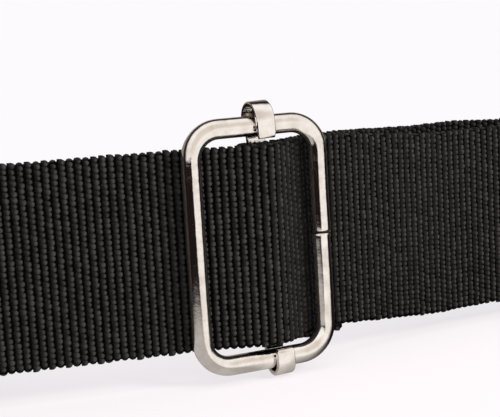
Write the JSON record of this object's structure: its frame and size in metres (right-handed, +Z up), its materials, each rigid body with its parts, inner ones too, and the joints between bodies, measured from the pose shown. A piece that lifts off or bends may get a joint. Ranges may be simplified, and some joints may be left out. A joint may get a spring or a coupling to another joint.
{
  "type": "gait belt",
  "caption": "Black ribbed webbing transfer belt on edge, threaded through a wire slider with a hooked centre bar, ending in a side-release buckle.",
  "frame": {"origin": "on the standing surface, under the middle of the slider frame and in the plane of its wire", "axes": "+X along the belt to the plug end, +Y to the back, +Z up across the webbing"},
  "size_m": [0.3935, 0.0978, 0.0686],
  "materials": {
    "webbing": "black ribbed polypropylene webbing",
    "thread": "black bonded polyester thread",
    "nickel_wire": "bright nickel plate on steel wire",
    "nickel_strip": "bright nickel plate on steel strip",
    "buckle_plastic": "black moulded acetal, satin"
  },
  "bodies": {
    "belt_left": {"webbing_roll": "webbing", "webbing_left_run": "webbing", "webbing_female_run": "webbing", "webbing_female_doubled": "webbing", "webbing_female_turn": "webbing", "female_loop_stitching": "thread"},
    "slider_group": {"slider_bar": "nickel_strip", "webbing_bar_loop": "webbing", "bar_loop_stitching": "thread", "webbing_slider_pass": "webbing", "webbing_front_run": "webbing", "webbing_back_run": "webbing"},
    "frame_body": {"slider_frame": "nickel_wire"},
    "belt_right_end": {"webbing_male_turn": "webbing"},
    "plug_half": {"buckle_male": "buckle_plastic"},
    "plug_arm_upper": {"male_arm_upper": "buckle_plastic"},
    "plug_arm_lower": {"male_arm_lower": "buckle_plastic"},
    "socket_half": {"buckle_female": "buckle_plastic"}
  },
  "joints": [
    {"name": "slider_shift", "type": "slide", "parent": "belt_left", "child": "slider_group", "axis": [1, 0, 0], "range_m": [-0.03, 0.03], "deforming": ["webbing_left_run"]},
    {"name": "frame_play", "type": "slide", "parent": "slider_group", "child": "frame_body", "axis": [1, 0, 0], "range_m": [-0.0006, 0.0002]},
    {"name": "loop_end_follow", "type": "slide", "parent": "slider_group", "child": "belt_right_end", "axis": [1, 0, 0], "range_m": [-0.015, 0.015], "deforming": ["webbing_front_run", "webbing_back_run"]},
    {"name": "plug_swivel", "type": "hinge", "parent": "belt_right_end", "child": "plug_half", "pos_m": [0.118, 0.018, 0.0305], "axis": [0, 0, 1], "range_deg": [-35, 35]},
    {"name": "upper_arm_press", "type": "hinge", "parent": "plug_half", "child": "plug_arm_upper", "pos_m": [0.1384, 0.018, 0.0541], "axis": [0, 1, 0], "range_deg": [0, 8], "stiffness_Nm_per_rad": 0.4},
    {"name": "lower_arm_press", "type": "hinge", "parent": "plug_half", "child": "plug_arm_lower", "pos_m": [0.1384, 0.018, 0.0069], "axis": [0, -1, 0], "range_deg": [0, 8], "stiffness_Nm_per_rad": 0.4},
    {"name": "socket_swivel", "type": "hinge", "parent": "belt_left", "child": "socket_half", "pos_m": [-0.17397, 0.0864, 0.0305], "axis": [0, 0, 1], "range_deg": [-35, 35]}
  ],
  "couplings": [
    {"joint": "loop_end_follow", "follows": "slider_shift", "ratio": -0.5}
  ]
}
